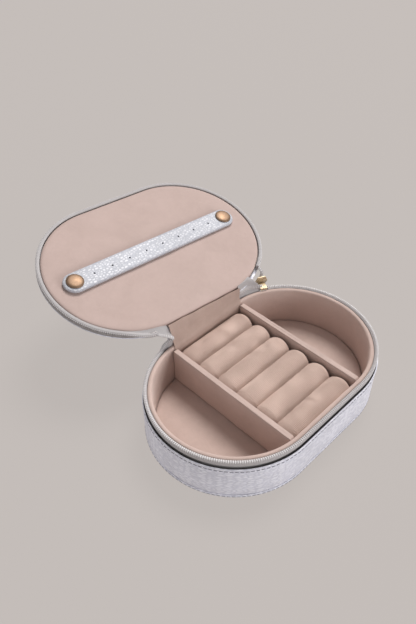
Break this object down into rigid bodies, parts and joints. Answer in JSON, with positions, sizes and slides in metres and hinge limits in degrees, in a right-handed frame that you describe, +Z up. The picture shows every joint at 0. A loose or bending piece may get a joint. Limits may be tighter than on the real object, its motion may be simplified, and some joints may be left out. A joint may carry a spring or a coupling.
{
  "type": "travel jewelry case",
  "caption": "Zip-round travel jewelry case with round ends, ring rolls between two dividers, open end compartments, and a padded lid with an earring strap.",
  "frame": {"origin": "middle of the underside of the base, on the surface that it stands on", "axes": "+Z up; X along the case; +Y towards the hinge, where the lid lies open"},
  "size_m": [0.1741, 0.2208, 0.081],
  "materials": {
    "silver_leather": "pebbled metallic silver imitation leather, satin",
    "velvet": "short-pile pinkish-beige velvet",
    "roll_velvet": "short-pile warm beige velvet over foam",
    "grey_board": "uncoated grey pulp board",
    "zip_tape": "woven off-white zip tape",
    "zip_coil": "off-white moulded nylon coil",
    "gold": "polished pale gold plate"
  },
  "bodies": {
    "base": {"bottom_panel": "silver_leather", "bottom_board": "grey_board", "bottom_welt": "silver_leather", "side_wall": "silver_leather", "wall_board": "grey_board", "lining_wall": "velvet", "floor_pad": "velvet", "divider_left": "velvet", "divider_right": "velvet", "ring_roll_1": "roll_velvet", "ring_roll_2": "roll_velvet", "ring_roll_3": "roll_velvet", "ring_roll_4": "roll_velvet", "ring_roll_5": "roll_velvet", "ring_roll_6": "roll_velvet", "base_zip_tape": "zip_tape", "base_zip_coil": "zip_coil", "zip_tail": "zip_tape", "zip_end_tab": "zip_tape", "hinge_inner_panel": "velvet", "hinge_outer_panel": "silver_leather"},
    "lid": {"lid_zip_coil": "zip_coil", "lid_zip_tape": "zip_tape", "lid_edge_band": "silver_leather", "lid_lining_pad": "velvet", "lid_board": "grey_board", "lid_cover": "silver_leather", "snap_stud_left": "gold", "snap_stud_right": "gold"},
    "strap_pivot": {"snap_cap_right": "gold"},
    "strap": {"earring_strap": "silver_leather", "snap_cap_left": "gold"},
    "zip_slider": {"zip_slider": "gold"},
    "zip_pull": {"zip_pull": "gold"}
  },
  "joints": [
    {"name": "lid_hinge", "type": "hinge", "parent": "base", "child": "lid", "pos_m": [0, 0.05545, 0.0425], "axis": [0.9991, -0.0344, -0.0241], "range_deg": [0, 163.9], "deforming": ["hinge_inner_panel", "hinge_outer_panel", "zip_tail", "zip_end_tab"]},
    {"name": "zip_travel", "type": "hinge", "parent": "base", "child": "zip_slider", "pos_m": [0.0285, 0, 0.035], "axis": [0, 0, -1], "range_deg": [0, 152]},
    {"name": "pull_swing", "type": "hinge", "parent": "zip_slider", "child": "zip_pull", "pos_m": [0.05584, 0.05251, 0.0324], "axis": [-0.887, 0.4617, 0], "range_deg": [0, 180]},
    {"name": "strap_swivel", "type": "hinge", "parent": "lid", "child": "strap_pivot", "pos_m": [0.0679, 0.10403, 0.06051], "axis": [0.0376, -0.2787, 0.9596], "range_deg": [-12, 0]},
    {"name": "strap_lift", "type": "hinge", "parent": "strap_pivot", "child": "strap", "pos_m": [0.05594, 0.10476, 0.06119], "axis": [-0.074, -0.9585, -0.2754], "range_deg": [-70, 0], "deforming": ["earring_strap"]}
  ]
}
